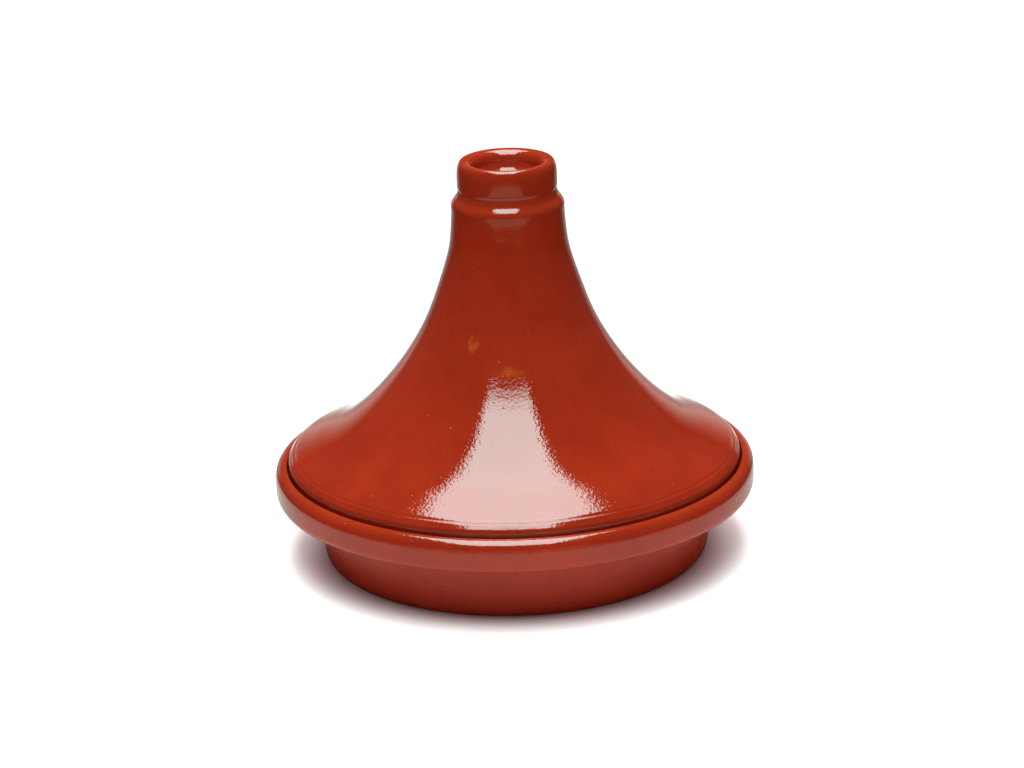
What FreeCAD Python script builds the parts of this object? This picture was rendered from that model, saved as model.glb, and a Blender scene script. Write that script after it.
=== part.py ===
import FreeCAD, Part
import os

# Two-piece earthenware tagine: a shallow footed cooking dish and a tall hollow conical lid.
# Both pieces are wheel-thrown, so each is one closed section turned about the Z axis.
# All sizes are in millimetres. The pot stands on Z = 0 and its axis is Z.
# The lid's lip drops into a rebate inside the dish's rim and rests on the rebate's ledge.
# A point of a section is (radius, height). A "shoulder" is the corner that a bend rounds off.

FULL_TURN_DEG = 360.0
AXIS_R = 0.0

# Dish, outside: flat foot, body wall, rolled rim
FOOT_Z = 0.0
FOOT_FLAT_R = 104.6
FOOT_SHOULDER_R = 108.4
BODY_LOW = (109.0, 5.2)
BODY_MID = (111.0, 18.0)
BODY_TOP = (113.2, 33.0)
RIM_UNDER_Z = 36.7
RIM_NECK_SHOULDER_R = 113.7
RIM_UNDER_IN_R = 118.0
RIM_UNDER_OUT_R = 131.0
RIM_R = 135.4
RIM_SIDE_LOW_Z = 41.5
RIM_SIDE_HIGH_Z = 46.5
RIM_TURN = (134.5, 51.9)
RIM_TURN_SHOULDER_Z = 50.2
RIM_TOP_SHOULDER = (133.1, 54.3)
RIM_CROWN = (129.9, 54.6)

# Dish, inside: rebate, ledge, bowl
REBATE_R = 128.6
REBATE_MOUTH_Z = 53.2
LEDGE_Z = 48.0
REBATE_FILLET = 1.6
LEDGE_IN_R = 119.0
LEDGE_SHOULDER_R = 117.4
LEDGE_NOSE = (115.4, 44.6)
BOWL_TOP = (110.2, 37.5)
BOWL_WALL_SHOULDER = (105.2, 31.0)
BOWL_LOW = (103.6, 20.0)
BOWL_CORNER_SHOULDER_R = 100.2
FLOOR_EDGE_R = 86.0
FLOOR_Z = 9.0

# Lid, lip: bare seat, bead and the fine groove that sets the bead off from the cone
LIP_R = 127.4
LIP_CORNER = 1.4
LIP_SEAT_IN_R = 121.0
LIP_SIDE_TOP_Z = 56.0
BEAD_SHOULDER = (127.0, 59.2)
BEAD_TOP = (124.3, 60.9)
GROOVE_BOTTOM = (123.8, 60.85)
CONE_FOOT = (123.2, 61.4)

# Lid, cone flowing into the neck
CONE_OUTER = [
    CONE_FOOT,
    (112.0, 66.6),
    (103.0, 71.1),
    (94.0, 77.0),
    (80.0, 89.4),
    (63.0, 109.3),
    (48.5, 132.9),
    (38.2, 159.2),
    (33.2, 176.0),
    (32.0, 184.0),
]
CONE_FOOT_DIR = (-1.0, 0.45)
NECK_DIR = (-0.09, 1.0)
NECK_TOP = (31.3, 192.0)

# Faint collar at the neck's top, its rolled shoulder, the throat and the hollow knob above it
NECK_WAIST_SHOULDER = (30.9, 196.6)
COLLAR_SIDE = (31.1, 199.8)
COLLAR_SHOULDER = (31.2, 202.0)
COLLAR_ROLL = (28.7, 204.7)
THROAT_SHOULDER = (28.0, 205.5)
THROAT_LOW = (27.5, 207.2)
KNOB_GROOVE = (27.05, 208.6)
KNOB_GROOVE_SHOULDER = (26.98, 208.95)
KNOB_FOOT = (27.12, 209.4)
KNOB_FOOT_SHOULDER_Z = 210.7
KNOB_R = 27.45
KNOB_SIDE_LOW_Z = 211.8
KNOB_SIDE_HIGH_Z = 215.5
KNOB_CROWN = (24.4, 224.9)
CUP_LIP_SHOULDER_R = 18.9
CUP_MOUTH = (18.4, 218.9)
CUP_SHOULDER = (17.6, 211.4)
CUP_FLOOR_EDGE_R = 6.0
CUP_FLOOR_Z = 211.4

# Lid, inside: hollow up into the neck
INNER_LIP = (118.6, 53.6)
INNER_LIP_SHOULDER = (117.7, 56.3)
CONE_INNER = [
    (27.0, 174.0),
    (32.6, 153.0),
    (43.0, 127.4),
    (57.5, 103.6),
    (75.0, 83.6),
    (96.0, 67.6),
    (112.0, 59.6),
]
CONE_INNER_TOP_DIR = (0.13, -1.0)
CONE_INNER_FOOT_DIR = (1.0, -0.5)
INNER_NECK = (24.8, 192.0)
INNER_TOP_SHOULDER_R = 24.4
INNER_TOP_EDGE_R = 12.0
INNER_TOP_Z = 203.0


def at(point):
    """Section point in the XZ half-plane."""
    radius, height = point
    return FreeCAD.Vector(radius, 0.0, height)


def line(start, end):
    return Part.makeLine(at(start), at(end))


def arc(start, middle, end):
    return Part.Arc(at(start), at(middle), at(end)).toShape()


def bend(start, shoulder, end):
    """Smooth bend from start to end, tangent to the two sides that meet at shoulder."""
    curve = Part.BezierCurve()
    curve.setPoles([at(start), at(shoulder), at(end)])
    return curve.toShape()


def flowing(points, start_dir, end_dir):
    """Smooth curve through the points, with the given end directions."""
    curve = Part.BSplineCurve()
    curve.interpolate(
        Points=[at(p) for p in points],
        InitialTangent=at(start_dir),
        FinalTangent=at(end_dir),
    )
    return curve.toShape()


def turned_solid(edges):
    """Solid made by turning a closed section through a full circle about Z."""
    wire = Part.Wire(edges)
    if not wire.isClosed():
        raise ValueError("section is not closed")
    axis = FreeCAD.Vector(0.0, 0.0, 1.0)
    solid = Part.Face(wire).revolve(FreeCAD.Vector(0.0, 0.0, 0.0), axis, FULL_TURN_DEG)
    if solid.ShapeType != "Solid":
        solid = solid.Solids[0]
    if solid.Volume < 0.0:
        solid.reverse()
    return solid


def dish_section():
    foot_axis = (AXIS_R, FOOT_Z)
    foot_edge = (FOOT_FLAT_R, FOOT_Z)
    under_in = (RIM_UNDER_IN_R, RIM_UNDER_Z)
    under_out = (RIM_UNDER_OUT_R, RIM_UNDER_Z)
    side_low = (RIM_R, RIM_SIDE_LOW_Z)
    side_high = (RIM_R, RIM_SIDE_HIGH_Z)
    mouth = (REBATE_R, REBATE_MOUTH_Z)
    rebate_low = (REBATE_R, LEDGE_Z + REBATE_FILLET)
    ledge_out = (REBATE_R - REBATE_FILLET, LEDGE_Z)
    ledge_in = (LEDGE_IN_R, LEDGE_Z)
    floor_edge = (FLOOR_EDGE_R, FLOOR_Z)
    floor_axis = (AXIS_R, FLOOR_Z)
    return [
        line(foot_axis, foot_edge),
        bend(foot_edge, (FOOT_SHOULDER_R, FOOT_Z), BODY_LOW),
        arc(BODY_LOW, BODY_MID, BODY_TOP),
        bend(BODY_TOP, (RIM_NECK_SHOULDER_R, RIM_UNDER_Z), under_in),
        line(under_in, under_out),
        bend(under_out, (RIM_R, RIM_UNDER_Z), side_low),
        line(side_low, side_high),
        bend(side_high, (RIM_R, RIM_TURN_SHOULDER_Z), RIM_TURN),
        bend(RIM_TURN, RIM_TOP_SHOULDER, RIM_CROWN),
        bend(RIM_CROWN, (REBATE_R, RIM_CROWN[1]), mouth),
        line(mouth, rebate_low),
        bend(rebate_low, (REBATE_R, LEDGE_Z), ledge_out),
        line(ledge_out, ledge_in),
        bend(ledge_in, (LEDGE_SHOULDER_R, LEDGE_Z), LEDGE_NOSE),
        line(LEDGE_NOSE, BOWL_TOP),
        bend(BOWL_TOP, BOWL_WALL_SHOULDER, BOWL_LOW),
        bend(BOWL_LOW, (BOWL_CORNER_SHOULDER_R, FLOOR_Z), floor_edge),
        line(floor_edge, floor_axis),
        line(floor_axis, foot_axis),
    ]


def lid_section():
    seat_in = (LIP_SEAT_IN_R, LEDGE_Z)
    seat_out = (LIP_R - LIP_CORNER, LEDGE_Z)
    side_low = (LIP_R, LEDGE_Z + LIP_CORNER)
    side_top = (LIP_R, LIP_SIDE_TOP_Z)
    knob_low = (KNOB_R, KNOB_SIDE_LOW_Z)
    knob_high = (KNOB_R, KNOB_SIDE_HIGH_Z)
    cup_edge = (CUP_FLOOR_EDGE_R, CUP_FLOOR_Z)
    cup_axis = (AXIS_R, CUP_FLOOR_Z)
    inner_axis = (AXIS_R, INNER_TOP_Z)
    inner_top = (INNER_TOP_EDGE_R, INNER_TOP_Z)
    return [
        line(seat_in, seat_out),
        bend(seat_out, (LIP_R, LEDGE_Z), side_low),
        line(side_low, side_top),
        bend(side_top, BEAD_SHOULDER, BEAD_TOP),
        arc(BEAD_TOP, GROOVE_BOTTOM, CONE_FOOT),
        flowing(CONE_OUTER, CONE_FOOT_DIR, NECK_DIR),
        line(CONE_OUTER[-1], NECK_TOP),
        bend(NECK_TOP, NECK_WAIST_SHOULDER, COLLAR_SIDE),
        bend(COLLAR_SIDE, COLLAR_SHOULDER, COLLAR_ROLL),
        bend(COLLAR_ROLL, THROAT_SHOULDER, THROAT_LOW),
        line(THROAT_LOW, KNOB_GROOVE),
        bend(KNOB_GROOVE, KNOB_GROOVE_SHOULDER, KNOB_FOOT),
        bend(KNOB_FOOT, (KNOB_R, KNOB_FOOT_SHOULDER_Z), knob_low),
        line(knob_low, knob_high),
        bend(knob_high, (KNOB_R, KNOB_CROWN[1]), KNOB_CROWN),
        bend(KNOB_CROWN, (CUP_LIP_SHOULDER_R, KNOB_CROWN[1]), CUP_MOUTH),
        bend(CUP_MOUTH, CUP_SHOULDER, cup_edge),
        line(cup_edge, cup_axis),
        line(cup_axis, inner_axis),
        line(inner_axis, inner_top),
        bend(inner_top, (INNER_TOP_SHOULDER_R, INNER_TOP_Z), INNER_NECK),
        line(INNER_NECK, CONE_INNER[0]),
        flowing(CONE_INNER, CONE_INNER_TOP_DIR, CONE_INNER_FOOT_DIR),
        bend(CONE_INNER[-1], INNER_LIP_SHOULDER, INNER_LIP),
        line(INNER_LIP, seat_in),
    ]


def main():
    os.makedirs("parts", exist_ok=True)
    pieces = {
        "base_dish": turned_solid(dish_section()),
        "lid": turned_solid(lid_section()),
    }
    for name, solid in pieces.items():
        solid.exportStep(os.path.join("parts", name + ".step"))


main()
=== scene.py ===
import math

import bmesh
import bpy
import numpy as np
from mathutils import Matrix, Vector


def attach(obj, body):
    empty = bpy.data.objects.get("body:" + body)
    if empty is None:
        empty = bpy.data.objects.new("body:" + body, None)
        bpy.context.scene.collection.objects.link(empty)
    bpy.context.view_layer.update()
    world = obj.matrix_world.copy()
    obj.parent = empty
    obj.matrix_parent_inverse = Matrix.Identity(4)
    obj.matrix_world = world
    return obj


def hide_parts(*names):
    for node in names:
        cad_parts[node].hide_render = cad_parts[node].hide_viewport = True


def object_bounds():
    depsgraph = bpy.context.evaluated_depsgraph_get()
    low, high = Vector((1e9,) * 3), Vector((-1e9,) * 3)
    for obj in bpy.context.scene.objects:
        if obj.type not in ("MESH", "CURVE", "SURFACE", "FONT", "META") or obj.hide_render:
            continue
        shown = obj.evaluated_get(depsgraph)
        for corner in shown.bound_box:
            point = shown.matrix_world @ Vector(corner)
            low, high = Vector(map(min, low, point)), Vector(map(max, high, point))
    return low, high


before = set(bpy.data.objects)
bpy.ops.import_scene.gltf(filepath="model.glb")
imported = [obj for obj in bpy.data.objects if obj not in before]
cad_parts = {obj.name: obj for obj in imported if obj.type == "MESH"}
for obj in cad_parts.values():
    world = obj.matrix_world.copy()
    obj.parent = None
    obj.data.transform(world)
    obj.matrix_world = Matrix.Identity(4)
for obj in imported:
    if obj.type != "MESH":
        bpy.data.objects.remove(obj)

cad_low, cad_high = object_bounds()

MM = 0.001
AXIS_R = 0.0

# ---------------------------------------------------------------- sizes, in millimetres
# A point of a section is (radius, height). A "shoulder" is the corner that a bend rounds off.

# Dish: foot, body wall, rolled rim, rebate with its ledge, bowl
RIM_R = cad_high[0] / MM
FOOT_FLAT_R = 104.6
FOOT_SHOULDER = (108.4, 0.0)
BODY = [(109.0, 5.2), (111.0, 18.0), (113.2, 33.0)]
RIM_UNDER_Z = 36.7
RIM_UNDER_IN = (118.0, RIM_UNDER_Z)
RIM_UNDER_OUT = (131.0, RIM_UNDER_Z)
RIM_NECK_SHOULDER = (113.7, RIM_UNDER_Z)
RIM_SIDE_LOW_Z = 41.5
RIM_SIDE_HIGH_Z = 46.5
RIM_TURN = (134.5, 51.9)
RIM_TURN_SHOULDER_Z = 50.2
RIM_TOP_SHOULDER = (133.1, 54.3)
RIM_CROWN = (129.9, 54.6)
REBATE_R = 128.6
REBATE_MOUTH_Z = 53.2
REBATE_FILLET = 1.6
LEDGE_Z = 48.0
LEDGE_IN_R = 119.0
LEDGE_SHOULDER_R = 117.4
LEDGE_NOSE = (115.4, 44.6)
BOWL_TOP = (110.2, 37.5)
BOWL_WALL_SHOULDER = (105.2, 31.0)
BOWL_LOW = (103.6, 20.0)
FLOOR_Z = 9.0
BOWL_CORNER_SHOULDER = (100.2, FLOOR_Z)
FLOOR_EDGE_R = 86.0

# Lid: lip, bead, cone, neck, collar, throat, hollow knob
KNOB_TOP_Z = cad_high[2] / MM
LIP_R = 127.4
LIP_CORNER = 1.4
LIP_SEAT_IN_R = 121.0
LIP_SIDE_TOP_Z = 56.0
BEAD_SHOULDER = (127.3, 57.6)
BEAD_SLOPE = (126.5, 58.5)
BEAD_CREST = (125.4, 59.8)
BEAD_CREST_SHOULDER = (124.7, 60.64)
BEAD_TOP = (124.0, 60.78)
GROOVE_SHOULDER = (123.55, 60.86)
CONE_OUTER = [
    (123.2, 61.4),
    (112.0, 66.6),
    (103.0, 71.1),
    (94.0, 77.0),
    (80.0, 89.4),
    (63.0, 109.3),
    (48.5, 132.9),
    (38.2, 159.2),
    (33.2, 176.0),
    (32.0, 184.0),
    (31.3, 192.0),
]
NECK_WAIST_SHOULDER = (30.9, 196.6)
COLLAR_SIDE = (31.1, 199.8)
COLLAR_SHOULDER = (31.2, 202.0)
COLLAR_ROLL = (28.7, 204.7)
THROAT_SHOULDER = (28.0, 205.5)
THROAT_LOW = (27.5, 207.2)
KNOB_GROOVE = (27.05, 208.6)
KNOB_GROOVE_SHOULDER = (26.98, 208.95)
KNOB_FOOT = (27.12, 209.4)
KNOB_R = 27.45
KNOB_FOOT_SHOULDER_Z = 210.7
KNOB_SIDE_LOW_Z = 211.8
KNOB_SIDE_HIGH_Z = 215.5
KNOB_CROWN_R = 24.4
CUP_LIP_SHOULDER_R = 18.9
CUP_MOUTH = (18.4, 218.9)
CUP_SHOULDER = (17.6, 211.4)
CUP_FLOOR_EDGE_R = 6.0
CUP_FLOOR_Z = 211.4
INNER_TOP_Z = 203.0
INNER_TOP_EDGE_R = 12.0
INNER_TOP_SHOULDER_R = 24.4
CONE_INNER = [
    (24.8, 192.0),
    (27.0, 174.0),
    (32.6, 153.0),
    (43.0, 127.4),
    (57.5, 103.6),
    (75.0, 83.6),
    (96.0, 67.6),
    (112.0, 59.6),
]
INNER_LIP_SHOULDER = (117.7, 56.3)
INNER_LIP = (118.6, 53.6)

# Small departures of handwork: tilts in radians, the rest in millimetres
LEVEL_TILT = 0.0026
KNOB_TILT = 0.022
LID_LEAN = 0.6
DISH_OVAL = 0.25
DISH_THREE_LOBES = 0.12
LID_OVAL = 0.2
LID_THREE_LOBES = 0.1

# Turning marks: depth and pitch
WALL_MARK = (0.05, 6.5)
BOWL_MARK = (0.16, 9.0)
CONE_MARK = (0.012, 5.2)
INSIDE_RIDGE = (0.35, 7.5)

# Meshing
SEGMENTS = 288
ON_AXIS_MM = 1e-6
WELD_M = 1e-7


# ---------------------------------------------------------------- sections


def bend(start, shoulder, end, steps):
    """Smooth bend from start to end, tangent to the two sides that meet at shoulder."""
    t = np.linspace(0.0, 1.0, steps + 1)[:, None]
    a, b, c = (np.array(p, float) for p in (start, shoulder, end))
    return (1 - t) ** 2 * a + 2 * t * (1 - t) * b + t**2 * c


def line(start, end, steps):
    t = np.linspace(0.0, 1.0, steps + 1)[:, None]
    return (1 - t) * np.array(start, float) + t * np.array(end, float)


def flowing(points, step):
    """Smooth curve through the points: a centripetal Catmull-Rom curve, about step mm a piece."""
    p = np.array(points, float)
    p = np.vstack([2 * p[0] - p[1], p, 2 * p[-1] - p[-2]])
    stretches = []
    for a, b, c, d in zip(p[:-3], p[1:-2], p[2:-1], p[3:]):
        ta = 0.0
        tb = ta + math.sqrt(np.linalg.norm(b - a))
        tc = tb + math.sqrt(np.linalg.norm(c - b))
        td = tc + math.sqrt(np.linalg.norm(d - c))
        pieces = max(2, round(np.linalg.norm(c - b) / step))
        t = np.linspace(tb, tc, pieces + 1)[:, None]
        ab = (tb - t) / (tb - ta) * a + (t - ta) / (tb - ta) * b
        bc = (tc - t) / (tc - tb) * b + (t - tb) / (tc - tb) * c
        cd = (td - t) / (td - tc) * c + (t - tc) / (td - tc) * d
        abc = (tc - t) / (tc - ta) * ab + (t - ta) / (tc - ta) * bc
        bcd = (td - t) / (td - tb) * bc + (t - tb) / (td - tb) * cd
        stretches.append((tc - t) / (tc - tb) * abc + (t - tb) / (tc - tb) * bcd)
    return joined(stretches)


def joined(stretches):
    """One polyline from consecutive stretches, without doubled points."""
    out = [stretches[0]]
    for stretch in stretches[1:]:
        out.append(stretch[1:])
    return np.vstack(out)


def dish_section():
    foot_edge = (FOOT_FLAT_R, 0.0)
    side_low = (RIM_R, RIM_SIDE_LOW_Z)
    side_high = (RIM_R, RIM_SIDE_HIGH_Z)
    mouth = (REBATE_R, REBATE_MOUTH_Z)
    rebate_low = (REBATE_R, LEDGE_Z + REBATE_FILLET)
    ledge_out = (REBATE_R - REBATE_FILLET, LEDGE_Z)
    ledge_in = (LEDGE_IN_R, LEDGE_Z)
    floor_edge = (FLOOR_EDGE_R, FLOOR_Z)
    return joined(
        [
            line((AXIS_R, 0.0), foot_edge, 24),
            bend(foot_edge, FOOT_SHOULDER, BODY[0], 8),
            flowing(BODY, 2.2),
            bend(BODY[-1], RIM_NECK_SHOULDER, RIM_UNDER_IN, 6),
            line(RIM_UNDER_IN, RIM_UNDER_OUT, 6),
            bend(RIM_UNDER_OUT, (RIM_R, RIM_UNDER_Z), side_low, 10),
            line(side_low, side_high, 4),
            bend(side_high, (RIM_R, RIM_TURN_SHOULDER_Z), RIM_TURN, 8),
            bend(RIM_TURN, RIM_TOP_SHOULDER, RIM_CROWN, 12),
            bend(RIM_CROWN, (REBATE_R, RIM_CROWN[1]), mouth, 8),
            line(mouth, rebate_low, 3),
            bend(rebate_low, (REBATE_R, LEDGE_Z), ledge_out, 4),
            line(ledge_out, ledge_in, 5),
            bend(ledge_in, (LEDGE_SHOULDER_R, LEDGE_Z), LEDGE_NOSE, 7),
            line(LEDGE_NOSE, BOWL_TOP, 6),
            bend(BOWL_TOP, BOWL_WALL_SHOULDER, BOWL_LOW, 14),
            bend(BOWL_LOW, BOWL_CORNER_SHOULDER, floor_edge, 16),
            line(floor_edge, (AXIS_R, FLOOR_Z), 40),
        ]
    )


def lid_outer_section():
    seat_in = (LIP_SEAT_IN_R, LEDGE_Z)
    seat_out = (LIP_R - LIP_CORNER, LEDGE_Z)
    side_low = (LIP_R, LEDGE_Z + LIP_CORNER)
    side_top = (LIP_R, LIP_SIDE_TOP_Z)
    knob_low = (KNOB_R, KNOB_SIDE_LOW_Z)
    knob_high = (KNOB_R, KNOB_SIDE_HIGH_Z)
    crown = (KNOB_CROWN_R, KNOB_TOP_Z)
    cup_edge = (CUP_FLOOR_EDGE_R, CUP_FLOOR_Z)
    return joined(
        [
            line(seat_in, seat_out, 3),
            bend(seat_out, (LIP_R, LEDGE_Z), side_low, 4),
            line(side_low, side_top, 4),
            bend(side_top, BEAD_SHOULDER, BEAD_SLOPE, 10),
            line(BEAD_SLOPE, BEAD_CREST, 3),
            bend(BEAD_CREST, BEAD_CREST_SHOULDER, BEAD_TOP, 10),
            bend(BEAD_TOP, GROOVE_SHOULDER, CONE_OUTER[0], 4),
            flowing(CONE_OUTER, 1.6),
            bend(CONE_OUTER[-1], NECK_WAIST_SHOULDER, COLLAR_SIDE, 8),
            bend(COLLAR_SIDE, COLLAR_SHOULDER, COLLAR_ROLL, 12),
            bend(COLLAR_ROLL, THROAT_SHOULDER, THROAT_LOW, 6),
            line(THROAT_LOW, KNOB_GROOVE, 2),
            bend(KNOB_GROOVE, KNOB_GROOVE_SHOULDER, KNOB_FOOT, 4),
            bend(KNOB_FOOT, (KNOB_R, KNOB_FOOT_SHOULDER_Z), knob_low, 4),
            line(knob_low, knob_high, 4),
            bend(knob_high, (KNOB_R, KNOB_TOP_Z), crown, 18),
            bend(crown, (CUP_LIP_SHOULDER_R, KNOB_TOP_Z), CUP_MOUTH, 14),
            bend(CUP_MOUTH, CUP_SHOULDER, cup_edge, 16),
            line(cup_edge, (AXIS_R, CUP_FLOOR_Z), 4),
        ]
    )


def lid_inner_section():
    inner_top = (INNER_TOP_EDGE_R, INNER_TOP_Z)
    return joined(
        [
            line((AXIS_R, INNER_TOP_Z), inner_top, 5),
            bend(inner_top, (INNER_TOP_SHOULDER_R, INNER_TOP_Z), CONE_INNER[0], 10),
            flowing(CONE_INNER, 2.5),
            bend(CONE_INNER[-1], INNER_LIP_SHOULDER, INNER_LIP, 6),
            line(INNER_LIP, (LIP_SEAT_IN_R, LEDGE_Z), 4),
        ]
    )


# ---------------------------------------------------------------- turned meshes


def fade(x, low, high):
    """0 below low, 1 above high, smooth between."""
    t = np.clip((x - low) / (high - low), 0.0, 1.0)
    return t * t * (3 - 2 * t)


def ripple(mark, x, turn):
    """Shallow spiral wave left by the potter's fingers: mark is its depth and pitch."""
    depth, pitch = mark
    return depth * np.sin(2 * math.pi * x / pitch + turn)


def lobes(oval, three_lobes, turn, oval_phase, lobes_phase):
    """Out-of-roundness of a thrown wall, as an oval with three lobes on it."""
    return oval * np.cos(2 * turn + oval_phase) + three_lobes * np.cos(3 * turn + lobes_phase)


def shape_dish(r, z, turn):
    """Departures (sideways, outwards, upwards) of the thrown dish from its section, in mm."""
    wobble = lobes(DISH_OVAL, DISH_THREE_LOBES, turn, 0.6, 2.1)
    outwards = wobble * fade(z, 2.0, 20.0) * fade(r, 60.0, 100.0)
    wall = fade(r, 107.0, 110.0) * (1 - fade(z, 32.0, 36.0)) * fade(z, 4.0, 9.0)
    outwards = outwards + ripple(WALL_MARK, z, turn) * wall
    bowl = (1 - fade(r, 84.0, 100.0)) * fade(r, 3.0, 9.0) * fade(z, 4.0, 8.0)
    upwards = ripple(BOWL_MARK, r, -turn) * bowl
    upwards = upwards - LEVEL_TILT * r * np.cos(turn) * fade(z, 15.0, 36.0)
    return 0.0, outwards, upwards


def shape_lid(r, z, turn):
    """Departures (sideways, outwards, upwards) of the lid's outside, in mm."""
    wobble = lobes(LID_OVAL, LID_THREE_LOBES, turn, 2.4, 0.4)
    outwards = wobble * fade(z, 60.0, 74.0) * (1 - 0.6 * fade(z, 196.0, 215.0))
    cone = fade(z, 66.0, 80.0) * (1 - fade(z, 188.0, 196.0))
    outwards = outwards + ripple(CONE_MARK, z, turn) * cone
    tilt = LEVEL_TILT + KNOB_TILT * fade(z, 192.0, 200.0)
    upwards = -tilt * r * np.cos(turn)
    return LID_LEAN * fade(z, 70.0, 185.0), outwards, upwards


def shape_lid_inside(r, z, turn):
    """Departures (sideways, outwards, upwards) of the lid's inside, with its turning ridges, in mm."""
    ridged = fade(z, 62.0, 72.0) * (1 - fade(z, 186.0, 192.0))
    outwards = ripple(INSIDE_RIDGE, z, turn) * ridged
    upwards = -LEVEL_TILT * r * np.cos(turn)
    return LID_LEAN * fade(z, 70.0, 185.0), outwards, upwards


def add_turned_faces(mesh, section, shape):
    """Adds to a bmesh the surface of a section turned about Z, with its shape's departures."""
    turn = np.linspace(0.0, 2 * math.pi, SEGMENTS, endpoint=False)
    rings = []
    for r, z in section:
        if r < ON_AXIS_MM:
            rings.append([mesh.verts.new((0.0, 0.0, z * MM))])
            continue
        sideways, outwards, upwards = shape(r, z, turn)
        x = (r + outwards) * np.sin(turn) + sideways
        y = -(r + outwards) * np.cos(turn)
        height = z + upwards
        rings.append([mesh.verts.new(point) for point in zip(x * MM, y * MM, height * MM)])
    for lower, upper in zip(rings[:-1], rings[1:]):
        for k in range(SEGMENTS):
            after = (k + 1) % SEGMENTS
            corners = [lower[k % len(lower)], upper[k % len(upper)]]
            if len(upper) > 1:
                corners.append(upper[after])
            if len(lower) > 1:
                corners.append(lower[after])
            mesh.faces.new(corners)


def turned_object(name, surfaces):
    mesh = bmesh.new()
    for section, shape in surfaces:
        add_turned_faces(mesh, section, shape)
    bmesh.ops.remove_doubles(mesh, verts=mesh.verts, dist=WELD_M)
    bmesh.ops.recalc_face_normals(mesh, faces=mesh.faces)
    for face in mesh.faces:
        face.smooth = True
    data = bpy.data.meshes.new(name)
    mesh.to_mesh(data)
    mesh.free()
    obj = bpy.data.objects.new(name, data)
    bpy.context.collection.objects.link(obj)
    return obj


# ---------------------------------------------------------------- shader helpers


def srgb(red, green, blue):
    """Linear colour from 0-255 display values."""
    out = []
    for value in (red, green, blue):
        c = value / 255.0
        out.append(c / 12.92 if c <= 0.04045 else ((c + 0.055) / 1.055) ** 2.4)
    return (*out, 1.0)


class Nodes:
    """A node tree, with one short method for each kind of node used here."""

    def __init__(self, tree):
        self.tree = tree

    def node(self, kind, **settings):
        made = self.tree.nodes.new(kind)
        for key, value in settings.items():
            setattr(made, key, value)
        return made

    def feed(self, socket, value):
        if isinstance(value, bpy.types.NodeSocket):
            self.tree.links.new(value, socket)
        else:
            socket.default_value = value

    def coords(self):
        return self.node("ShaderNodeTexCoord").outputs["Object"]

    def math(self, operation, a, b=0.0, clamp=False):
        made = self.node("ShaderNodeMath", operation=operation, use_clamp=clamp)
        self.feed(made.inputs[0], a)
        self.feed(made.inputs[1], b)
        return made.outputs[0]

    def vector(self, operation, a, b, output="Vector"):
        made = self.node("ShaderNodeVectorMath", operation=operation)
        self.feed(made.inputs[0], a)
        self.feed(made.inputs[1], b)
        return made.outputs[output]

    def noise(self, where, scale, detail, roughness=0.5, output="Fac"):
        made = self.node("ShaderNodeTexNoise")
        self.feed(made.inputs["Vector"], where)
        made.inputs["Scale"].default_value = scale
        made.inputs["Detail"].default_value = detail
        made.inputs["Roughness"].default_value = roughness
        return made.outputs[output]

    def cells(self, where, scale):
        """Distance to the nearest of the random points that lie 1/scale apart."""
        made = self.node("ShaderNodeTexVoronoi")
        self.feed(made.inputs["Vector"], where)
        made.inputs["Scale"].default_value = scale
        return made.outputs["Distance"]

    def ramp(self, value, low, high, at_low=0.0, at_high=1.0):
        """Smooth step from at_low at low to at_high at high."""
        made = self.node("ShaderNodeMapRange", interpolation_type="SMOOTHSTEP")
        self.feed(made.inputs[0], value)
        for socket, number in zip(made.inputs[1:5], (low, high, at_low, at_high)):
            socket.default_value = number
        return made.outputs[0]

    def band(self, value, low, high, soft):
        """1 between low and high, fading over soft on each side."""
        rise = self.ramp(value, low - soft, low)
        fall = self.ramp(value, high, high + soft, 1.0, 0.0)
        return self.math("MULTIPLY", rise, fall)

    def mix(self, amount, a, b):
        made = self.node("ShaderNodeMix", data_type="RGBA")
        self.feed(made.inputs[0], amount)
        self.feed(made.inputs[6], a)
        self.feed(made.inputs[7], b)
        return made.outputs[2]

    def axes(self, where):
        made = self.node("ShaderNodeSeparateXYZ")
        self.feed(made.inputs[0], where)
        return made.outputs

    def radius(self, where):
        """Distance from the Z axis."""
        flat = self.vector("MULTIPLY", where, (1.0, 1.0, 0.0))
        made = self.node("ShaderNodeVectorMath", operation="LENGTH")
        self.feed(made.inputs[0], flat)
        return made.outputs["Value"]

    def blob(self, where, centre, reach, core):
        """1 inside core of an ellipsoid of half-sizes reach, 0 outside it."""
        offset = self.vector("SUBTRACT", where, centre)
        scaled = self.vector("DIVIDE", offset, reach)
        made = self.node("ShaderNodeVectorMath", operation="LENGTH")
        self.feed(made.inputs[0], scaled)
        return self.ramp(made.outputs["Value"], core, 1.0, 1.0, 0.0)

    def bump(self, height, distance):
        made = self.node("ShaderNodeBump")
        made.inputs["Distance"].default_value = distance
        self.feed(made.inputs["Height"], height)
        return made.outputs[0]


class Shader(Nodes):
    """A new material and its node tree."""

    def __init__(self, name):
        self.material = bpy.data.materials.new(name)
        self.material.use_nodes = True
        super().__init__(self.material.node_tree)
        self.tree.nodes.clear()
        self.output = self.node("ShaderNodeOutputMaterial")


# ---------------------------------------------------------------- glaze over terracotta

GLAZE_DEEP = srgb(137, 32, 12)
GLAZE_MID = srgb(147, 36, 14)
GLAZE_THIN = srgb(150, 48, 17)
GLAZE_DARK = srgb(102, 22, 8)
GLAZE_RUN = srgb(166, 64, 22)
SPECK = srgb(70, 22, 14)
PIT = srgb(58, 16, 12)
CLAY_BARE = srgb(196, 112, 74)
CLAY_DARK = srgb(160, 84, 54)
RELIEF_DISTANCE = 0.16 * MM


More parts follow.
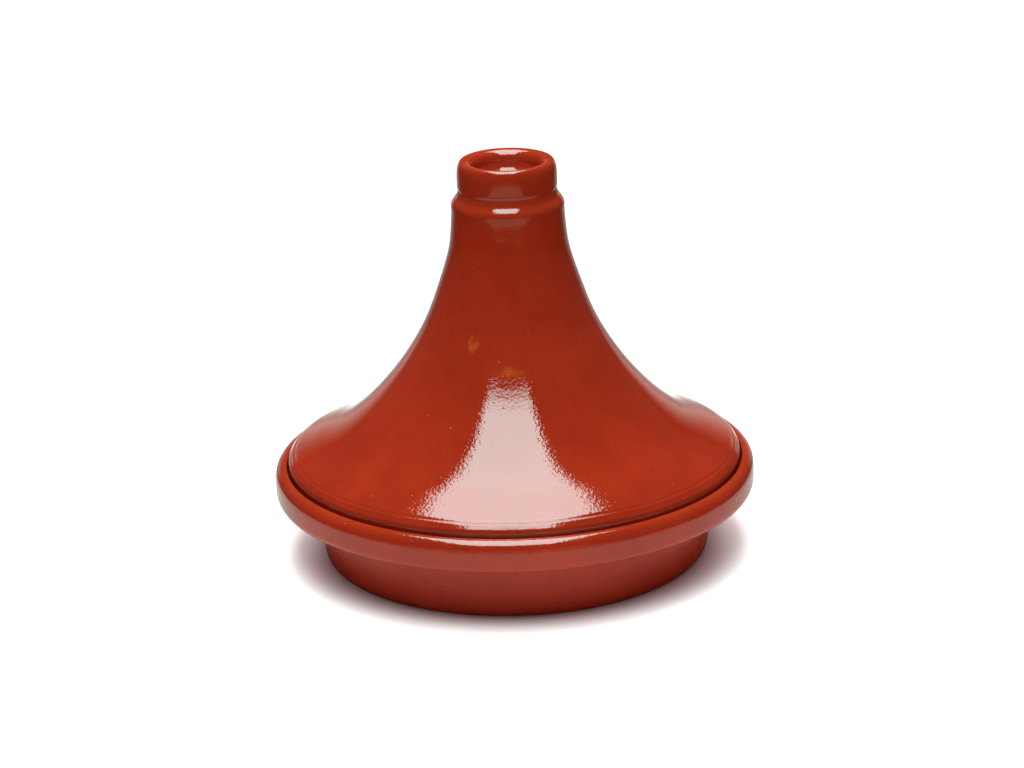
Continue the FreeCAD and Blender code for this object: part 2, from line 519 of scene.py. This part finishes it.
def glazed(name, thin_glaze, bare_clay, marks):
    """Glossy clear glaze over red clay, thin and orange at the edges, with some clay left bare.

    thin_glaze and bare_clay take the shader, the coordinates and a fine noise, and give an amount.
    marks takes the shader, the coordinates and the colour so far, and gives the colour with the
    piece's own marks in it and the amount scored into the surface.
    """
    s = Shader(name)
    where = s.coords()
    cloud = s.noise(where, 26.0, 3.0, 0.55)
    fine = s.noise(where, 240.0, 3.0, 0.6)
    runs = s.noise(s.vector("MULTIPLY", where, (1.0, 1.0, 0.22)), 90.0, 2.0)
    colour = s.mix(s.ramp(cloud, 0.32, 0.7), GLAZE_DEEP, GLAZE_MID)
    colour = s.mix(s.ramp(runs, 0.5, 0.78, 0.0, 0.10), colour, GLAZE_THIN)
    colour = s.mix(s.ramp(fine, 0.56, 0.75, 0.0, 0.16), colour, GLAZE_DARK)
    colour = s.mix(thin_glaze(s, where, fine), colour, GLAZE_THIN)

    # Grit under the glaze, and pits left by gas in the firing
    grit = s.ramp(s.cells(where, 150.0), 0.07, 0.11, 0.6, 0.0)
    grit_here = s.ramp(s.noise(where, 60.0, 1.0), 0.56, 0.60)
    colour = s.mix(s.math("MULTIPLY", grit, grit_here), colour, SPECK)
    pit_cells = s.cells(s.vector("ADD", where, (0.013, 0.027, 0.041)), 110.0)
    pit_here = s.ramp(s.noise(where, 35.0, 1.0), 0.50, 0.54)
    pit = s.math("MULTIPLY", s.ramp(pit_cells, 0.03, 0.065, 1.0, 0.0), pit_here)
    colour = s.mix(pit, colour, PIT)
    colour, scored = marks(s, where, colour)

    bare = bare_clay(s, where, fine)
    grain = s.noise(where, 900.0, 4.0, 0.65)
    clay = s.mix(s.ramp(s.math("ADD", grain, cloud), 0.75, 1.3), CLAY_DARK, CLAY_BARE)
    colour = s.mix(bare, colour, clay)

    # Relief: slow waves and a fine skin in the glaze, pits, scores, grit where the clay is bare
    height = s.math("MULTIPLY", s.noise(where, 42.0, 1.0), 0.5)
    skin = s.math("MULTIPLY", s.noise(where, 620.0, 2.0), 0.5)
    height = s.math("ADD", height, skin)
    height = s.math("SUBTRACT", height, s.math("MULTIPLY", pit, 0.9))
    height = s.math("SUBTRACT", height, s.math("MULTIPLY", scored, 0.25))
    grainy = s.math("MULTIPLY", s.math("MULTIPLY", grain, bare), 1.6)
    height = s.math("ADD", height, grainy)
    normal = s.bump(height, RELIEF_DISTANCE)

    surface = s.node("ShaderNodeBsdfPrincipled")
    s.feed(surface.inputs["Base Color"], colour)
    roughness = s.math("ADD", s.math("MULTIPLY", bare, 0.4), s.ramp(fine, 0.3, 0.7, 0.42, 0.5))
    s.feed(surface.inputs["Roughness"], roughness)
    surface.inputs["IOR"].default_value = 1.45
    surface.inputs["Specular IOR Level"].default_value = 0.0
    s.feed(surface.inputs["Coat Weight"], s.math("SUBTRACT", 1.0, bare, clamp=True))
    surface.inputs["Coat Roughness"].default_value = 0.02
    surface.inputs["Coat IOR"].default_value = 1.55
    s.feed(surface.inputs["Normal"], normal)
    s.feed(surface.inputs["Coat Normal"], normal)
    s.feed(s.output.inputs["Surface"], surface.outputs[0])
    return s.material


def dish_thin_glaze(s, where, fine):
    z = s.axes(where)["Z"]
    crown = s.math("MULTIPLY", s.ramp(z, 0.0528, 0.0545), s.ramp(s.radius(where), 0.1275, 0.1295))
    return s.math("MULTIPLY", crown, s.ramp(fine, 0.35, 0.6, 0.1, 0.45))


def dish_bare_clay(s, where, fine):
    z = s.axes(where)["Z"]
    edge = s.math("ADD", z, s.math("MULTIPLY", fine, 0.002))
    return s.ramp(edge, 0.0012, 0.0022, 1.0, 0.0)


def dish_marks(s, where, colour):
    return colour, 0.0


def lid_thin_glaze(s, where, fine):
    z = s.axes(where)["Z"]
    collar = s.band(z, 0.2024, 0.2042, 0.0012)
    knob_top = s.ramp(z, 0.2222, 0.2245)
    edges = s.math("ADD", collar, knob_top, clamp=True)
    return s.math("MULTIPLY", edges, s.ramp(fine, 0.35, 0.6, 0.08, 0.3))


def lid_bare_clay(s, where, fine):
    z = s.axes(where)["Z"]
    edge = s.math("ADD", z, s.math("MULTIPLY", fine, 0.0016))
    return s.ramp(edge, 0.0496, 0.0505, 1.0, 0.0)


def on_lid(r, z, degrees):
    """Point on the lid at radius r and height z (mm), turned from the front, in metres."""
    turn = math.radians(degrees)
    return (r * math.sin(turn) * MM, -r * math.cos(turn) * MM, z * MM)


# The lid's own marks: place as radius, height and degrees from the front, half-sizes in metres
DROP_PLACE = (48.3, 133.2, -24.9)
DROP_REACH = (0.0028, 0.006, 0.0078)
SMEAR_PLACE = (55.1, 121.3, -0.9)
SMEAR_REACH = (0.0105, 0.006, 0.0050)
SCRATCH_Z = 0.167
SCRATCH_SLOPE = 0.456


def lid_marks(s, where, colour):
    """Two orange runs in the glaze and one long fine scratch across the front of the neck."""
    jitter = s.noise(where, 160.0, 2.0, output="Color")
    jitter = s.vector("MULTIPLY", s.vector("SUBTRACT", jitter, (0.5, 0.5, 0.5)), (0.01, 0.01, 0.01))
    ragged = s.vector("ADD", where, jitter)
    drop = s.blob(ragged, on_lid(*DROP_PLACE), DROP_REACH, 0.3)
    smear = s.blob(ragged, on_lid(*SMEAR_PLACE), SMEAR_REACH, 0.1)
    runs = s.math("MULTIPLY", s.math("ADD", drop, smear, clamp=True), 0.8)
    colour = s.mix(runs, colour, GLAZE_RUN)
    x, y, z = s.axes(where)
    slant = s.math("ADD", z, s.math("MULTIPLY", x, SCRATCH_SLOPE))
    away = s.math("ABSOLUTE", s.math("SUBTRACT", slant, SCRATCH_Z))
    in_front = s.ramp(y, -0.012, -0.008, 1.0, 0.0)
    scratch = s.math("MULTIPLY", s.ramp(away, 0.0001, 0.0004, 1.0, 0.0), in_front)
    scratch = s.math("MULTIPLY", scratch, s.ramp(s.noise(where, 120.0, 2.0), 0.40, 0.55))
    colour = s.mix(s.math("MULTIPLY", scratch, 0.2), colour, GLAZE_RUN)
    return colour, scratch


dish = turned_object("dish_turned", [(dish_section(), shape_dish)])
lid = turned_object("lid_turned", [(lid_outer_section(), shape_lid), (lid_inner_section(), shape_lid_inside)])
dish.data.materials.append(glazed("dish_glaze", dish_thin_glaze, dish_bare_clay, dish_marks))
lid.data.materials.append(glazed("lid_glaze", lid_thin_glaze, lid_bare_clay, lid_marks))

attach(dish, "dish")
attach(lid, "cover")
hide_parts("base_dish")
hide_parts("lid")

# ---------------------------------------------------------------- studio, in metres

FLOOR_R = 0.5
MIRRORED_R = 3.0
FLOOR_ALBEDO = (0.92, 0.76, 0.80, 1.0)
BLACK = (0.0, 0.0, 0.0, 1.0)
WHITE = (1.0, 1.0, 1.0, 1.0)
SHEET_NEAR = (1.0, 0.96, 0.88, 1.0)
SHEET_FAR = (1.0, 0.78, 0.60, 1.0)
CARD_COLOUR = (1.0, 0.86, 0.74, 1.0)
SKY_R = 6.5
CARD_HALF = 1.5
CARD_TOP = 0.9
CARD_Y = 2.0
CARD_SOFT = 0.4
MIRRORED_Z = 0.0002
BACKDROP_LIGHT = 1.15


def stage_object(name, mesh, material):
    data = bpy.data.meshes.new(name)
    mesh.to_mesh(data)
    mesh.free()
    obj = bpy.data.objects.new(name, data)
    obj.data.materials.append(material)
    bpy.context.collection.objects.link(obj)
    return obj


def paper():
    """White paper with a painted glow round the pot: it gives off light there so that the pot's shadow stays
    pale.
    """
    s = Shader("paper")
    away = s.radius(s.coords())
    surface = s.node("ShaderNodeBsdfPrincipled")
    surface.inputs["Base Color"].default_value = FLOOR_ALBEDO
    surface.inputs["Roughness"].default_value = 0.9
    surface.inputs["Specular IOR Level"].default_value = 0.0
    surface.inputs["Emission Color"].default_value = WHITE
    # Painted light: the paper glows in a ring round the pot and washes out the pot's shadow.
    painted_glow = s.math("MULTIPLY", s.ramp(away, 0.10, 0.15, 0.0, 0.65), s.ramp(away, 0.24, 0.36, 1.0, 0.0))
    s.feed(surface.inputs["Emission Strength"], painted_glow)
    s.feed(s.output.inputs["Surface"], surface.outputs[0])
    return s.material


def mirrored_paper():
    """What the glaze mirrors: a grey sheet under the pot, pale behind it, dark to the sides."""
    s = Shader("mirrored_paper")
    where = s.coords()
    away = s.radius(where)
    x, y = s.axes(where)[:2]
    spread = s.math("ADD", s.math("ABSOLUTE", s.math("ADD", x, 0.02)), s.math("MULTIPLY", y, 0.27))
    grey = s.math("MAXIMUM", s.ramp(away, 0.30, 0.46, 0.42, 0.03), s.ramp(away, 0.47, 0.56, 0.0, 0.4))
    grey = s.math("MULTIPLY", grey, s.ramp(y, -1.7, -1.2))
    sheet = s.math("MULTIPLY", grey, s.ramp(spread, 0.26, 0.38, 1.0, 0.0))
    facing = s.ramp(s.math("DIVIDE", y, away), 0.62, 0.95)
    behind = s.math("MULTIPLY", facing, s.ramp(away, 0.25, 0.6, 0.85, 0.24))
    tint = s.mix(s.ramp(away, 0.3, 0.55), SHEET_NEAR, SHEET_FAR)
    shade = s.mix(behind, s.mix(s.math("MAXIMUM", sheet, 0.03), BLACK, tint), WHITE)
    surface = s.node("ShaderNodeBsdfDiffuse")
    s.feed(surface.inputs["Color"], shade)
    s.feed(s.output.inputs["Surface"], surface.outputs[0])
    return s.material


def card_glow():
    """Pale card behind the pot, mirrored on the flanks of the lid: brightest at its foot."""
    s = Shader("pale_card")
    place = s.axes(s.coords())
    glow = s.node("ShaderNodeEmission")
    sides = s.band(place["X"], CARD_SOFT - CARD_HALF, CARD_HALF - CARD_SOFT, CARD_SOFT)
    glow.inputs["Color"].default_value = CARD_COLOUR
    rising = s.ramp(place["Z"], -0.3, CARD_TOP, 1.0, 0.0)
    s.feed(glow.inputs["Strength"], s.math("MULTIPLY", sides, rising))
    s.feed(s.output.inputs["Surface"], glow.outputs[0])
    return s.material


def plain_glow(name, strength):
    s = Shader(name)
    glow = s.node("ShaderNodeEmission")
    glow.inputs["Strength"].default_value = strength
    s.feed(s.output.inputs["Surface"], glow.outputs[0])
    return s.material


def disc(radius, z):
    mesh = bmesh.new()
    bmesh.ops.create_circle(mesh, cap_ends=True, segments=96, radius=radius)
    bmesh.ops.translate(mesh, verts=mesh.verts, vec=(0.0, 0.0, z))
    return mesh


def upright(half, top, y):
    """Vertical sheet across the back of the studio."""
    mesh = bmesh.new()
    corners = [(-half, y, 0.0), (half, y, 0.0), (half, y, top), (-half, y, top)]
    mesh.faces.new([mesh.verts.new(c) for c in corners])
    return mesh


floor = stage_object("floor", disc(FLOOR_R, 0.0), paper())
floor.visible_glossy = False
mirrored = stage_object("mirrored_floor", disc(MIRRORED_R, MIRRORED_Z), mirrored_paper())
mirrored.visible_camera = False
mirrored.visible_diffuse = False
mirrored.visible_shadow = False

card = stage_object("pale_card", upright(CARD_HALF, CARD_TOP, CARD_Y), card_glow())
card.visible_camera = False
card.visible_diffuse = False
card.visible_shadow = False

dome = bmesh.new()
bmesh.ops.create_uvsphere(dome, u_segments=48, v_segments=24, radius=SKY_R)
backdrop = stage_object("backdrop", dome, plain_glow("backdrop_white", BACKDROP_LIGHT))
backdrop.visible_diffuse = False
backdrop.visible_glossy = False
backdrop.visible_shadow = False


def softbox(name, centre, turn, size_x, size_y, power):
    light = bpy.data.lights.new(name, "AREA")
    light.shape = "RECTANGLE"
    light.size = size_x
    light.size_y = size_y
    light.energy = power
    obj = bpy.data.objects.new(name, light)
    obj.location = centre
    obj.rotation_euler = turn
    obj.visible_camera = False
    bpy.context.collection.objects.link(obj)
    return obj


def shape_key(lamp):
    """Fades a softbox out at its front edge, dims its far end and narrows it towards the back."""
    lamp.data.use_nodes = True
    s = Nodes(lamp.data.node_tree)
    across, along = s.axes(s.node("ShaderNodeNewGeometry").outputs["Parametric"])[:2]
    light = s.math("MULTIPLY", s.ramp(along, -0.08, 0.16), s.ramp(along, 0.5, 1.0, 1.0, 0.72))
    half_width = s.ramp(along, 0.0, 0.85, 0.5, 0.43)
    off_middle = s.math("ABSOLUTE", s.math("SUBTRACT", across, 0.5))
    inside = s.math("LESS_THAN", off_middle, half_width)
    s.feed(s.tree.nodes["Emission"].inputs["Strength"], s.math("MULTIPLY", light, inside))


KEY_COLOUR = (0.80, 1.0, 0.95)
KEY_Z = 1.8
KEY_X = -0.066
KEY_FRONT_Y = -1.43
KEY_BACK_Y = 1.0
KEY_WIDTH = 1.24
KEY_TURN = math.radians(-1.7)
KEY_POWER = 99.0
key = softbox(
    "key",
    (KEY_X, (KEY_FRONT_Y + KEY_BACK_Y) / 2, KEY_Z),
    (0.0, 0.0, KEY_TURN),
    KEY_WIDTH,
    KEY_BACK_Y - KEY_FRONT_Y,
    KEY_POWER,
)
key.data.color = KEY_COLOUR
shape_key(key)

BACK_FILL_CENTRE = (0.0, 1.5, 1.6)
BACK_FILL_TURN = (math.radians(-43.0), 0.0, 0.0)
BACK_FILL_POWER = 25.0
back_fill = softbox("back_fill", BACK_FILL_CENTRE, BACK_FILL_TURN, 2.6, 1.4, BACK_FILL_POWER)
back_fill.visible_glossy = False

WORLD_LIGHT = 0.06
world = bpy.data.worlds.new("studio")
bpy.context.scene.world = world
world.use_nodes = True
world.node_tree.nodes["Background"].inputs["Color"].default_value = WHITE
world.node_tree.nodes["Background"].inputs["Strength"].default_value = WORLD_LIGHT

# ---------------------------------------------------------------- camera

ELEVATION = math.radians(18.64)
ROLL = math.radians(1.74)
DISTANCE = 1.5
TARGET = Vector((0.0, 0.0, 0.09546))
SENSOR_MM = 36.0
LENS_MM = 93.96
across = Vector((1.0, 0.0, 0.0))
upward = Vector((0.0, math.sin(ELEVATION), math.cos(ELEVATION)))
backward = Vector((0.0, -math.cos(ELEVATION), math.sin(ELEVATION)))
camera_x = across * math.cos(ROLL) - upward * math.sin(ROLL)
camera_y = upward * math.cos(ROLL) + across * math.sin(ROLL)
turned = Matrix((camera_x, camera_y, backward)).transposed().to_4x4()
camera_data = bpy.data.cameras.new("camera")
camera_data.sensor_width = SENSOR_MM
camera_data.lens = LENS_MM
camera_data.clip_start = 0.05
camera_data.clip_end = 50.0
camera_data.dof.use_dof = False
camera = bpy.data.objects.new("camera", camera_data)
camera.matrix_world = Matrix.Translation(TARGET + backward * DISTANCE) @ turned
bpy.context.collection.objects.link(camera)
bpy.context.scene.camera = camera
bpy.context.scene.view_settings.view_transform = "Standard"
